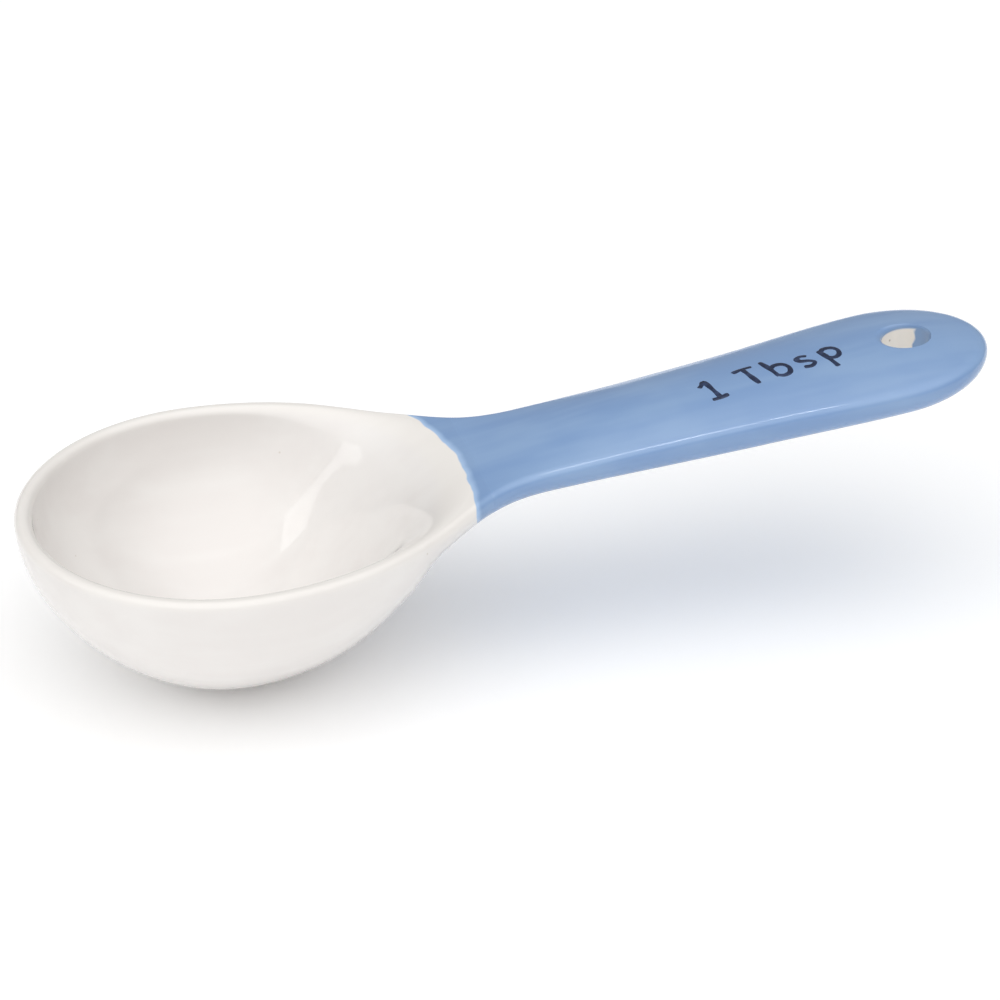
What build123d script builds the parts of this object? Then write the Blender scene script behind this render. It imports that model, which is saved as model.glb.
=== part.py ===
from build123d import *
import os
from math import cos, radians, sin, sqrt

# A one-tablespoon measuring spoon in glazed stoneware: one cast clay body with a white glaze on the
# bowl, a blue glaze on the handle, a bare foot under the bowl and a hanging hole in the handle's end.
# Millimetres. The origin is the middle of the foot, +X runs along the handle and +Z is up.

# Bowl, outside
bowl_half_width = 21.9
bowl_depth = 21.2
bowl_shoulder_reach = 26.9
rim_outer_round = 0.85
bowl_fullness_share = 0.45

# Bowl, inside
rim_wall = 1.85
floor_wall = 2.1
front_rim_wall = 4.6
front_wall_lean = 7.5
lip_round = 0.85
cavity_fullness_share = 0.525
level_count = 12
first_level_share = 0.04
last_level_share = 1.15

# Foot
foot_grind = 0.7
foot_stand = 0.2
foot_radius = 4.6

# Line of the rim and the handle's edges: level over the bowl, then a bend up to a straight handle
bend_start = 16.7
bend_radius = 50.0
handle_slope = 7.2
handle_reach = 75.9
end_length = 11.9

# Handle: half widths and depths under the edge line, and the crown of its top over that line
root_reach = 21.0
root_half_width = 14.2
root_depth = 7.3
neck_half_width = 8.75
neck_depth = 5.2
waist_half_width = 7.85
waist_depth = 4.9
palm_half_width = 8.55
palm_depth = 5.55
end_half_width = 9.95
end_depth = 5.4
handle_crown = 1.25
handle_edge_round = 1.0
handle_fullness_share = 0.62
neck_share = 0.15
waist_share = 0.31
palm_share = 0.68
full_crown_share = 0.5
section_count = 16
run_on_count = 2

# Hanging hole
hole_offset = 2.9
hole_radius = 2.2
hole_lip_round = 1.4
hole_lip_slope = 12.0
bare_throat_inset = 0.25

# Glaze
glaze_thickness = 0.35
glaze_line_reach = 27.3
glaze_line_radius = 34.5

# Distance that every cutting tool and joining piece runs past what it cuts or joins
overrun = 4.0

# Quarter of a full turn in degrees, and a quarter circle's share when drawn as one cubic curve
quarter_turn = 90
quarter_round_share = 0.5523

# The dish's curve under the bowl, and where its points stand on the bowl's half width
dish_power_share = 0.52
dish_point_shares = (0.0, 0.3, 0.55, 0.78)

rim_height = foot_stand - foot_grind + bowl_depth


def station_plane(reach):
    """Plane across the spoon, its origin on the edge line at a reach from the bowl's middle."""
    slope = radians(handle_slope)
    bend_length = bend_radius * slope
    turned = min(max(reach - bend_start, 0) / bend_radius, slope)
    straight = max(reach - bend_start - bend_length, 0)
    along = min(reach, bend_start) + bend_radius * sin(turned) + straight * cos(slope)
    up = rim_height + bend_radius * (1 - cos(turned)) + straight * sin(slope)
    return Plane(origin=(along, 0, up), x_dir=(0, 1, 0), z_dir=(cos(turned), 0, sin(turned)))


def half_outline(half_width, depth, crown, edge_round, fullness, inset):
    """Half of a cross section: over the crown, round the edge and under to the middle of the bottom."""
    side = half_width - inset
    top = -inset
    bottom = inset - depth
    corner = edge_round - inset
    flat = side - corner
    pull = quarter_round_share * corner
    fall = crown / flat
    under = top - corner - bottom
    shoulder = top - corner
    return [
        [(0, crown + top), (flat / 2, crown + top), (flat, top)],
        [(flat, top), (flat + pull, top - 2 * fall * pull), (side, shoulder + pull), (side, shoulder)],
        [(side, shoulder), (side, shoulder - fullness * under), (fullness * side, bottom), (0, bottom)],
    ]


def cross_section(reach, sizes, inset):
    """Whole cross section, as a face standing at its station."""
    curves = half_outline(*sizes, inset)
    right = [Bezier(*points) for points in curves]
    left = [Bezier(*[(-across, up) for across, up in reversed(points)]) for points in reversed(curves)]
    return station_plane(reach) * Face(Wire(right + left))


def handle_points(root, neck, waist, palm, end):
    """Five sizes of the handle, each with the reach where it stands."""
    run = handle_reach - root_reach
    return [
        (root_reach, root),
        (root_reach + neck_share * run, neck),
        (root_reach + waist_share * run, waist),
        (root_reach + palm_share * run, palm),
        (handle_reach, end),
    ]


def half_width_points():
    """Half width against reach, from the bowl's middle to the middle of the handle's round end."""
    points = []
    for share in dish_point_shares:
        reach = share * bowl_half_width
        points.append((reach, bowl_half_width * sqrt(1 - (reach / bowl_shoulder_reach) ** 2)))
    handle = (root_half_width, neck_half_width, waist_half_width, palm_half_width, end_half_width)
    return points + handle_points(*handle)


def depth_points():
    """Depth under the edge line against reach."""
    points = []
    for share in dish_point_shares:
        dish = (bowl_depth - rim_outer_round) * (1 - share**2) ** dish_power_share
        points.append((share * bowl_half_width, rim_outer_round + dish))
    return points + handle_points(root_depth, neck_depth, waist_depth, palm_depth, end_depth)


def height_on(points, reach):
    """Height at a reach of the smooth line through points, which is level at both ends."""
    slopes = [0]
    for before, after in zip(points, points[2:]):
        slopes.append((after[1] - before[1]) / (after[0] - before[0]))
    slopes.append(0)
    spans = zip(points, points[1:], slopes, slopes[1:])
    holding = (span for span in spans if reach <= span[1][0] or span[1] is points[-1])
    start, stop, rise_in, rise_out = next(holding)
    length = stop[0] - start[0]
    way = (reach - start[0]) / length
    back = 1 - way
    ends = start[1] * back * back * (1 + 2 * way) + stop[1] * way * way * (3 - 2 * way)
    return ends + length * way * back * (back * rise_in - way * rise_out)


def sizes_at(reach):
    """Sizes of the cross section at a reach, mirrored past either end of the drawn-out middle."""
    reach = abs(reach)
    reach = min(reach, 2 * handle_reach - reach)
    crown_run = full_crown_share * (handle_reach - root_reach)
    way = min(max((reach - root_reach) / crown_run, 0), 1)
    ease = way * way * (3 - 2 * way)
    edge_round = rim_outer_round + ease * (handle_edge_round - rim_outer_round)
    fullness = bowl_fullness_share + ease * (handle_fullness_share - bowl_fullness_share)
    half_width = height_on(half_width_points(), reach)
    depth = height_on(depth_points(), reach)
    return half_width, depth, ease * handle_crown, edge_round, fullness


def drawn_out_middle(inset):
    """Loft from the bowl's middle to the handle's round end, run on past both and cut there level."""
    faces = []
    for index in range(-run_on_count, section_count + run_on_count):
        reach = handle_reach * index / (section_count - 1)
        faces.append(cross_section(reach, sizes_at(reach), inset))
    front = split(loft(faces), bisect_by=station_plane(0), keep=Keep.TOP)
    return split(front, bisect_by=station_plane(handle_reach), keep=Keep.BOTTOM)


def half_turned(reach, sizes, inset, length, way):
    """Half a turn of a section about the upright line of its station, stretched to a length."""
    right = [Bezier(*points) for points in half_outline(*sizes, inset)]
    axis_line = Line(right[-1] @ 1, right[0] @ 0)
    turned = revolve(Plane.XZ * make_face(right + [axis_line]), Axis.Z)
    half = split(turned, bisect_by=Plane.YZ, keep=Keep.TOP if way > 0 else Keep.BOTTOM)
    stretch = (length - inset) / (sizes[0] - inset)
    plane = station_plane(reach)
    upright = Plane(origin=plane.origin, x_dir=plane.z_dir, z_dir=plane.y_dir)
    return upright * scale(half, by=(stretch, 1, 1))


def on_cubic(points, way):
    """Value of a cubic curve's coordinate, part of the way along it."""
    back = 1 - way
    first, second, third, last = points
    return first * back**3 + 3 * second * back * back * way + 3 * third * back * way * way + last * way**3


def egg(level, front, side):
    """Egg-shaped face at a level: a half circle behind, drawn out to the front."""
    centre = (0, 0, level)
    quarters = [
        EllipticalCenterArc(centre, front, side, start_angle=0, arc_size=quarter_turn),
        EllipticalCenterArc(centre, side, side, start_angle=quarter_turn, arc_size=quarter_turn),
        EllipticalCenterArc(centre, side, side, start_angle=2 * quarter_turn, arc_size=quarter_turn),
        EllipticalCenterArc(centre, front, side, start_angle=3 * quarter_turn, arc_size=quarter_turn),
    ]
    return Face(Wire(quarters))


def cavity(inset):
    """What the bowl holds: steep walls at the back and sides, and a front wall that leans to the handle."""
    side = bowl_half_width - rim_wall + inset
    front = bowl_shoulder_reach - front_rim_wall + inset
    depth = bowl_depth - foot_grind - floor_wall + inset
    side_curve = (0, cavity_fullness_share * side, side, side)
    front_curve = (0, cavity_fullness_share * side, front - front_wall_lean, front)
    level_curve = (-depth, -depth, -cavity_fullness_share * depth, 0)
    levels = []
    for index in range(level_count):
        way = first_level_share + (last_level_share - first_level_share) * index / (level_count - 1)
        levels.append(egg(on_cubic(level_curve, way), on_cubic(front_curve, way), on_cubic(side_curve, way)))
    return Location((0, 0, rim_height)) * loft(levels)


def inner_rim(opened, inset):
    """Edges where the opened bowl's inside meets the top of its rim."""
    halfway = bowl_half_width - (rim_wall + rim_outer_round) / 2
    lowest = rim_height - inset - lip_round
    edges = opened.edges().filter_by(lambda edge: edge.bounding_box().min.Z > lowest)
    return edges.filter_by(lambda edge: edge.bounding_box().max.X < root_reach + overrun).filter_by(
        lambda edge: max(abs((edge @ way).Y) for way in (0, 0.5, 1)) < halfway
    )


def hole_plane():
    """Plane square to the handle at the hanging hole, its Z axis along the hole."""
    plane = station_plane(handle_reach + hole_offset)
    return Plane(origin=plane.origin, x_dir=plane.z_dir, z_dir=plane.y_dir)


def hole_tool(inset):
    """Hanging hole with a soft lip above and below."""
    radius = hole_radius + inset
    top_lip = JernArc(
        start=(radius, handle_crown - inset - hole_lip_round),
        tangent=(0, 1),
        radius=hole_lip_round,
        arc_size=hole_lip_slope - quarter_turn,
    )
    bottom_lip = JernArc(
        start=(radius, inset - end_depth + hole_lip_round),
        tangent=(0, -1),
        radius=hole_lip_round,
        arc_size=quarter_turn - hole_lip_slope,
    )
    top_edge = top_lip @ 1 + (top_lip % 1) * overrun
    bottom_edge = bottom_lip @ 1 + (bottom_lip % 1) * overrun
    rest = Polyline(top_lip @ 1, top_edge, (0, top_edge.Y), (0, bottom_edge.Y), bottom_edge, bottom_lip @ 1)
    throat = Line(bottom_lip @ 0, top_lip @ 0)
    return hole_plane() * revolve(Plane.XZ * make_face([throat, top_lip, rest, bottom_lip]), Axis.Z)


def ring_about_hole(inner_radius, outer_radius, bottom, top):
    """Upright ring round the hole's axis between two levels of the hole's plane."""
    ring = Circle(outer_radius) - Circle(inner_radius)
    return hole_plane() * extrude(Plane.XY.offset(bottom) * ring, top - bottom)


def spoon_form(inset):
    """The whole spoon's shape, drawn in by an inset on every side."""
    bowl = half_turned(0, sizes_at(0), inset, bowl_half_width, -1)
    end = half_turned(handle_reach, sizes_at(handle_reach), inset, end_length, 1)
    solid = bowl + drawn_out_middle(inset) + end
    foot_level = foot_stand + inset
    ground = Location((0, 0, foot_level - overrun)) * extrude(Circle(bowl_half_width), overrun)
    opened = solid - ground - cavity(inset)
    return fillet(inner_rim(opened, inset), lip_round - inset) - hole_tool(inset)


def clay_body():
    """Cast body under the glaze, with its bare foot and the bare throat of the hole."""
    foot_top = foot_stand + glaze_thickness
    foot = extrude(Circle(foot_radius), foot_top + floor_wall / 2)
    throat_top = handle_crown - hole_lip_round - bare_throat_inset
    throat_bottom = hole_lip_round + bare_throat_inset - end_depth
    throat = ring_about_hole(hole_radius, hole_radius + 2 * glaze_thickness, throat_bottom, throat_top)
    return spoon_form(glaze_thickness) + foot + throat


def bowl_side():
    """Everything on the bowl's side of the glaze line, which bulges towards the handle."""
    middle = glaze_line_reach - glaze_line_radius
    height = rim_height + handle_reach
    round_end = Location((middle, 0, -overrun)) * extrude(Circle(glaze_line_radius), height)
    back = Location((middle - glaze_line_radius, 0, -overrun)) * extrude(
        Rectangle(2 * glaze_line_radius, 2 * glaze_line_radius), height
    )
    return round_end + back


def main():
    """Build the pieces, print the level-full capacity and write one file for each piece."""
    clay = clay_body()
    coat = spoon_form(0) - clay
    keeper = bowl_side()
    pieces = {
        "clay_body": clay,
        "white_bowl_glaze": coat & keeper,
        "blue_handle_glaze": coat - keeper,
    }
    level = Location((0, 0, rim_height)) * extrude(Rectangle(4 * handle_reach, 4 * bowl_half_width), -bowl_depth)
    capacity = (cavity(0) & level).volume / 1000
    print(f"level-full capacity {capacity:.2f} ml")
    os.makedirs("parts", exist_ok=True)
    for name, piece in pieces.items():
        solids = piece.solids()
        print(name, len(solids), "solid,", round(sum(solid.volume for solid in solids), 1), "mm3")
        export_step(Compound(solids), f"parts/{name}.step")


main()
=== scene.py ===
"""Looks of a glazed ceramic tablespoon measure: its visible shape, finishes and mark, and the studio."""

import logging
import math
from dataclasses import dataclass, field
from enum import Enum

import bmesh
import bpy
import numpy as np
from mathutils import Matrix, Vector
from mathutils.bvhtree import BVHTree

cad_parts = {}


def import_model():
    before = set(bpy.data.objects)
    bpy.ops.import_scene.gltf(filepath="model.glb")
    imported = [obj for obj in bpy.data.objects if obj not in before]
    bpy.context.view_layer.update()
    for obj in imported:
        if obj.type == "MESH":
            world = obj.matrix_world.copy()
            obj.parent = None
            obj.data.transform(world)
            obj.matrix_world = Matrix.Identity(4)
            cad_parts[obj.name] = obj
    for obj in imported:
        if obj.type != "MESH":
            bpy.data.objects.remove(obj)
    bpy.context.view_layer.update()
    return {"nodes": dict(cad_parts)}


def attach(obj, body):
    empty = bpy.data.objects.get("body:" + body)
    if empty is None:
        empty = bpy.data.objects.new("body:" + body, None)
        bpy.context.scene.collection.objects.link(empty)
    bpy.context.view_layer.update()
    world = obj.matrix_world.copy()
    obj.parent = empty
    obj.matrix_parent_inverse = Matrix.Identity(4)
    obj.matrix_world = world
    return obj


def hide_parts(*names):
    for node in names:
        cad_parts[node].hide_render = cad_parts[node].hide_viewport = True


LOG = logging.getLogger("measuring_spoon")
MM = 0.001
BODY = "root"
MERGE_MM = 0.0005
# Straight start and curve of the sRGB standard.
SRGB_KNEE, SRGB_SLOPE = 0.04045, 12.92
SRGB_LIFT, SRGB_SCALE, SRGB_POWER = 0.055, 1.055, 2.4
# Share of a corner's radius that a Bezier curve's pull takes to follow a quarter circle.
ROUND_PULL_SHARE = 0.5523
SOFT_STEP = {"interpolation_type": "SMOOTHSTEP"}
COLOUR_MIX = {"data_type": "RGBA"}


def linear(hex_colour: str) -> tuple[float, float, float, float]:
    """Turn an sRGB hex colour into Blender's linear RGBA.

    Args:
        hex_colour: Six hex digits, such as "f3efe8".

    Returns:
        Linear red, green and blue, with an alpha of one.
    """
    parts = [int(hex_colour[place:place + 2], 16) / 255 for place in (0, 2, 4)]
    made = [
        part / SRGB_SLOPE if part <= SRGB_KNEE else ((part + SRGB_LIFT) / SRGB_SCALE) ** SRGB_POWER
        for part in parts
    ]
    return made[0], made[1], made[2], 1.0


def per_metre(size_mm: float) -> float:
    """Scale of a texture, read in metres, whose features are this many millimetres across."""
    return 1.0 / (size_mm * MM)


def add_node(
    tree: bpy.types.NodeTree,
    kind: str,
    settings: dict | None = None,
    values: dict | None = None,
    links: dict | None = None,
) -> bpy.types.Node:
    """Add a node with its settings, socket values and links.

    Args:
        tree: Node tree that takes the node.
        kind: Blender's name of the node's type.
        settings: Properties of the node by name.
        values: Input sockets' values by name or number.
        links: Input sockets, by name or number, and the output socket that feeds each.

    Returns:
        The new node.
    """
    node = tree.nodes.new(kind)
    for name, value in (settings or {}).items():
        setattr(node, name, value)
    for socket, value in (values or {}).items():
        node.inputs[socket].default_value = value
    for socket, source in (links or {}).items():
        tree.links.new(source, node.inputs[socket])
    return node


def new_material(name: str) -> tuple[bpy.types.Material, bpy.types.NodeTree, bpy.types.Node]:
    """Add a node material.

    Args:
        name: The material's name.

    Returns:
        The material, its node tree and its surface shader.
    """
    made = bpy.data.materials.new(name)
    made.use_nodes = True
    return made, made.node_tree, made.node_tree.nodes["Principled BSDF"]


def new_object(name: str, data: bpy.types.ID) -> bpy.types.Object:
    """Add an object with its data to the scene.

    Args:
        name: The object's name.
        data: Its mesh, light or camera.

    Returns:
        The new object.
    """
    made = bpy.data.objects.new(name, data)
    bpy.context.scene.collection.objects.link(made)
    return made


class Surface(Enum):
    """Roughness of a fired surface."""

    GLASSY = 0.06
    SETTLED = 0.11
    BARE = 0.78


def bezier(points: list[tuple[float, float]], count: int) -> np.ndarray:
    """Points along a Bezier curve.

    Args:
        points: The curve's ends and pulls.
        count: How many points to make.

    Returns:
        The points, one row each.
    """
    ways = np.linspace(0, 1, count)[:, None]
    order = len(points) - 1
    return sum(
        math.comb(order, place) * (1 - ways) ** (order - place) * ways**place * np.array(point)
        for place, point in enumerate(points)
    )


def on_cubic(points: tuple[float, float, float, float], way: np.ndarray) -> np.ndarray:
    """Value of a cubic Bezier curve's coordinate, part of the way along it.

    Args:
        points: The coordinate at the curve's ends and pulls.
        way: Share of the way along the curve.

    Returns:
        The coordinate for each way.
    """
    back = 1 - way
    first, second, third, last = points
    return first * back**3 + 3 * second * back * back * way + 3 * third * back * way * way + last * way**3


def mesh_piece(name: str, grids: list[np.ndarray], mirrored: bool = True) -> bpy.types.Object:
    """Closed mesh from grids of points whose borders meet.

    Args:
        name: The piece's name.
        grids: Points in millimetres, rows by columns.
        mirrored: Whether the grids are the spoon's right half alone.

    Returns:
        The new object.
    """
    vertices, faces = [], []
    for grid in grids:
        rows, columns = grid.shape[:2]
        for flip in ((1, -1) if mirrored else (1,)):
            first = len(vertices)
            vertices.extend((grid.reshape(-1, 3) * (MM, flip * MM, MM)).tolist())
            for row in range(rows - 1):
                for column in range(columns - 1):
                    corner = first + row * columns + column
                    face = (corner, corner + 1, corner + columns + 1, corner + columns)
                    faces.append(face[::flip])
    shape = bpy.data.meshes.new(name)
    shape.from_pydata(vertices, [], faces)
    work = bmesh.new()
    work.from_mesh(shape)
    bmesh.ops.remove_doubles(work, verts=work.verts, dist=MERGE_MM * MM)
    bmesh.ops.dissolve_degenerate(work, edges=work.edges, dist=MERGE_MM * MM)
    bmesh.ops.recalc_face_normals(work, faces=work.faces)
    work.to_mesh(shape)
    work.free()
    return new_object(name, shape)


def cut(piece: bpy.types.Object, tool: bpy.types.Object) -> None:
    """Cut a tool's shape out of a piece, for good.

    Args:
        piece: The piece, whose mesh is replaced.
        tool: The closed shape to take away.
    """
    step = piece.modifiers.new("cut", "BOOLEAN")
    step.operation = "DIFFERENCE"
    step.solver = "EXACT"
    step.object = tool
    shape = bpy.data.meshes.new_from_object(piece.evaluated_get(bpy.context.evaluated_depsgraph_get()))
    piece.modifiers.remove(step)
    piece.data = shape


def smooth_by_angle(piece: bpy.types.Object, degrees: float = 35.0) -> None:
    """Shade a piece smooth, except over edges that turn by more than an angle.

    Args:
        piece: The piece to shade.
        degrees: The least turn of an edge that stays sharp.
    """
    work = bmesh.new()
    work.from_mesh(piece.data)
    for face in work.faces:
        face.smooth = True
    for edge in work.edges:
        edge.smooth = edge.calc_face_angle(0.0) < math.radians(degrees)
    work.to_mesh(piece.data)
    work.free()


@dataclass(frozen=True)
class SpoonForm:
    """Shape of the spoon in millimetres: half sections hung on one bent line of rim and edges.

    An inset draws every surface in, so the same sections give the coat's outside and the clay under it. The
    bowl's inside is drawn out to the front, where it runs softly up on to the handle's top. A place is given
    by its reach along the edge line, its way across and its height over the line.
    """

    # Bowl's outside. The shoulder is where its ellipse would close at the front.
    rim_height: float = 20.7
    bowl_half_width: float = 21.9
    bowl_depth: float = 21.2
    bowl_shoulder: float = 26.9
    bowl_fullness: float = 0.45
    dish_power: float = 0.52
    dish_shares: tuple[float, ...] = (0.0, 0.3, 0.55, 0.78)
    rim_round: float = 0.85
    # Bowl's inside. The lean and the fall draw the front wall's curve back and down from the rim.
    rim_wall: float = 1.85
    floor_height: float = 2.3
    front_wall: float = 3.0
    front_lean: float = 8.0
    front_fall: float = 4.4
    cavity_fullness: float = 0.525
    # Run of the rim's lip inward and outward, at the back and at the front, and how late it grows.
    lip_in: tuple[float, float] = (0.85, 5.5)
    lip_out: tuple[float, float] = (0.85, 3.6)
    lip_in_power: float = 3.0
    lip_out_power: float = 5.0
    lip_pull_share: float = 0.55
    wall_step: float = 0.05
    top_step: float = 0.2
    # Handle, with its half widths and depths at shares of its length.
    bend_start: float = 16.7
    bend_radius: float = 50.0
    slope_degrees: float = 7.2
    root_reach: float = 21.0
    neck_share: float = 0.5
    handle_reach: float = 75.9
    end_length: float = 11.9
    handle_shares: tuple[float, ...] = (0.0, 0.15, 0.31, 0.68, 1.0)
    half_widths: tuple[float, ...] = (14.2, 8.75, 7.85, 8.55, 9.95)
    depths: tuple[float, ...] = (7.3, 5.2, 4.9, 5.55, 5.4)
    crown: float = 1.25
    edge_round: float = 1.0
    end_edge_round: float = 1.25
    handle_fullness: float = 0.62
    # Foot, glaze and hanging hole.
    foot_stand: float = 0.2
    foot_radius: float = 4.6
    foot_chamfer: float = 0.15
    foot_overrun: float = 1.0
    coat: float = 0.35
    hole_offset: float = 2.9
    hole_radius: float = 2.7
    hole_lip: float = 0.85
    hole_lip_slope: float = 12.0
    hole_overrun: float = 4.0
    # Fineness of the meshes.
    back_count: int = 48
    front_count: int = 64
    level_count: int = 600
    ring_count: int = 56
    blend_count: int = 11
    handle_count: int = 120
    end_count: int = 36
    top_count: int = 15
    edge_count: int = 10
    under_count: int = 36
    hole_lip_count: int = 12
    hole_turn_count: int = 97
    foot_turn_count: int = 73

    def placed(self, reach: np.ndarray, across: np.ndarray, up: np.ndarray) -> np.ndarray:
        """Move places from the straightened edge line to the bent one.

        Args:
            reach: Ways along the edge line.
            across: Ways across.
            up: Heights over the line.

        Returns:
            The points in space, with a last axis of three.
        """
        slope = math.radians(self.slope_degrees)
        past = np.maximum(reach - self.bend_start, 0)
        turned = np.minimum(past / self.bend_radius, slope)
        straight = np.maximum(past - self.bend_radius * slope, 0)
        level = np.minimum(reach, self.bend_start)
        along = level + self.bend_radius * np.sin(turned) + straight * math.cos(slope)
        rise = self.bend_radius * (1 - np.cos(turned)) + straight * math.sin(slope)
        return np.stack(np.broadcast_arrays(
            along - np.sin(turned) * up, across, self.rim_height + rise + np.cos(turned) * up
        ), axis=-1)

    def end_placed(self, ahead: np.ndarray, across: np.ndarray, up: np.ndarray) -> np.ndarray:
        """Move places past the last station to the handle's round end.

        Args:
            ahead: Ways past the last station.
            across: Ways across.
            up: Heights over the edge line.

        Returns:
            The points in space, with a last axis of three.
        """
        slope = math.radians(self.slope_degrees)
        start = self.placed(np.array(self.handle_reach), np.array(0.0), np.array(0.0))
        forward = np.array([math.cos(slope), 0.0, math.sin(slope)])
        upward = np.array([-math.sin(slope), 0.0, math.cos(slope)])
        sideways = np.array([0.0, 1.0, 0.0])
        return (start + np.asarray(ahead)[..., None] * forward + np.asarray(across)[..., None] * sideways
                + np.asarray(up)[..., None] * upward)

    def height_on(self, points: list[tuple[float, float]], reach: float) -> float:
        """Height of the smooth line through points, which is level at both ends.

        Args:
            points: Reaches and heights, in order.
            reach: Where to read the line.

        Returns:
            The line's height there.
        """
        slopes = [0.0]
        for before, after in zip(points, points[2:]):
            slopes.append((after[1] - before[1]) / (after[0] - before[0]))
        slopes.append(0.0)
        spans = zip(points, points[1:], slopes, slopes[1:])
        start, stop, rise_in, rise_out = next(
            span for span in spans if reach <= span[1][0] or span[1] is points[-1]
        )
        length = stop[0] - start[0]
        way = (reach - start[0]) / length
        back = 1 - way
        ends = start[1] * back * back * (1 + 2 * way) + stop[1] * way * way * (3 - 2 * way)
        return ends + length * way * back * (back * rise_in - way * rise_out)

    def sizes_at(self, reach: float) -> tuple[float, float, float, float, float]:
        """Sizes of the section at a reach.

        Args:
            reach: Where the section stands along the edge line.

        Returns:
            Half width, depth, crown, edge round and fullness.
        """
        run = self.handle_reach - self.root_reach
        widths, depths = [], []
        for share in self.dish_shares:
            place = share * self.bowl_half_width
            widths.append((place, self.bowl_half_width * math.sqrt(1 - (place / self.bowl_shoulder) ** 2)))
            dish = (self.bowl_depth - self.rim_round) * (1 - share**2) ** self.dish_power
            depths.append((place, self.rim_round + dish))
        for share, width, depth in zip(self.handle_shares, self.half_widths, self.depths):
            widths.append((self.root_reach + share * run, width))
            depths.append((self.root_reach + share * run, depth))
        way = min(max((reach - self.root_reach) / (self.neck_share * run), 0), 1)
        ease = way * way * (3 - 2 * way)
        late = min(max((reach - self.root_reach) / run, 0), 1) ** 2
        edge = self.rim_round + ease * (self.edge_round - self.rim_round) + late * (
            self.end_edge_round - self.edge_round)
        fullness = self.bowl_fullness + ease * (self.handle_fullness - self.bowl_fullness)
        return self.height_on(widths, reach), self.height_on(depths, reach), ease * self.crown, edge, fullness

    def rib(self, reach: float, inset: float, start: float) -> np.ndarray:
        """Half section from its top, round the edge and under to the middle of the bottom.

        Args:
            reach: Where the section stands along the edge line.
            inset: How far the surface is drawn in.
            start: Way across at which the rib starts on the top.

        Returns:
            Ways across and heights over the edge line, one row each.
        """
        half_width, depth, crown, edge_round, fullness = self.sizes_at(reach)
        side, top, bottom, corner = half_width - inset, -inset, inset - depth, edge_round - inset
        flat, shoulder, pull = side - corner, top - corner, ROUND_PULL_SHARE * corner
        under = shoulder - bottom
        across = np.linspace(start, flat, self.top_count)
        over = np.column_stack([across, top + crown * (1 - (across / flat) ** 2)])
        edge = bezier([(flat, top), (flat + pull, top - 2 * crown / flat * pull), (side, shoulder + pull),
                       (side, shoulder)], self.edge_count)
        below = bezier([(side, shoulder), (side, shoulder - fullness * under), (fullness * side, bottom),
                        (0.0, bottom)], self.under_count)
        return np.vstack([over, edge[1:], below[1:]])

    def wall_line(self, turn: float, inset: float) -> np.ndarray:
        """Bowl's inside from its middle up to the rim's height, before the lip is made.

        Args:
            turn: Angle from the handle, in radians.
            inset: How far the surface is drawn in.

        Returns:
            Ways out from the middle and heights over the edge line, one row each.
        """
        side = self.bowl_half_width - self.rim_wall + inset
        front = self.bowl_shoulder - self.front_wall + inset
        depth = self.rim_height - self.floor_height + inset
        side_curve = (0.0, self.cavity_fullness * side, side, side)
        front_curve = (0.0, self.cavity_fullness * side, front - self.front_lean, front)
        side_levels = (-depth, -depth, -self.cavity_fullness * depth, 0.0)
        front_levels = (-depth, -depth, -self.front_fall, 0.0)
        fine = np.linspace(0, 1, self.level_count)
        level = on_cubic(side_levels, fine)
        out = on_cubic(side_curve, fine)
        if math.cos(turn) > 0:
            ahead = on_cubic(front_curve, np.interp(level, on_cubic(front_levels, fine), fine))
            out = np.divide(
                ahead * out, np.hypot(math.cos(turn) * out, math.sin(turn) * ahead),
                out=np.zeros_like(out), where=out > 0,
            )
        inside = level < -inset
        line = np.column_stack([out[inside], level[inside]])
        return np.vstack([line, [np.interp(-inset, level, out), -inset]])

    def profile(self, turn: float, inset: float) -> np.ndarray:
        """Bowl's inside from its middle out over the lip to the rim's top.

        Args:
            turn: Angle from the handle, in radians.
            inset: How far the surface is drawn in.

        Returns:
            Ways out from the middle and heights over the edge line, one row each.
        """
        line = self.wall_line(turn, inset)
        rim = line[-1]
        run = np.concatenate([[0], np.cumsum(np.linalg.norm(np.diff(line, axis=0), axis=1))])
        ahead_share = max(math.cos(turn), 0.0)
        ease_in, ease_out = ahead_share**self.lip_in_power, ahead_share**self.lip_out_power
        reach_in = self.lip_in[0] + ease_in * (self.lip_in[1] - self.lip_in[0]) - inset
        reach_out = self.lip_out[0] + ease_out * (self.lip_out[1] - self.lip_out[0]) - inset
        steps = np.linspace(0, run[-1] - reach_in, self.ring_count)
        wall = np.column_stack([np.interp(steps, run, line[:, axis]) for axis in (0, 1)])
        beyond = np.array([np.interp(steps[-1] + self.wall_step, run, line[:, axis]) for axis in (0, 1)])
        rising = (beyond - wall[-1]) / np.linalg.norm(beyond - wall[-1])
        last_out = rim[0] + reach_out
        last = np.array([last_out, self.top_height(last_out, turn, inset)])
        before = np.array([last_out - self.top_step, self.top_height(last_out - self.top_step, turn, inset)])
        level_out = (last - before) / np.linalg.norm(last - before)
        pull_in = wall[-1] + self.lip_pull_share * reach_in * rising
        pull_out = last - self.lip_pull_share * reach_out * level_out
        lip = bezier([tuple(wall[-1]), tuple(pull_in), tuple(pull_out), tuple(last)], self.blend_count)
        return np.vstack([wall, lip[1:]])

    def top_height(self, out: float, turn: float, inset: float) -> float:
        """Height of the rim's or handle's top over the edge line.

        Args:
            out: Way out from the bowl's middle.
            turn: Angle from the handle, in radians.
            inset: How far the surface is drawn in.

        Returns:
            The height.
        """
        reach, across = max(out * math.cos(turn), 0.0), out * math.sin(turn)
        half_width, _, crown, edge_round, _ = self.sizes_at(reach)
        return crown * (1 - min(across / (half_width - edge_round), 1) ** 2) - inset

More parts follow.
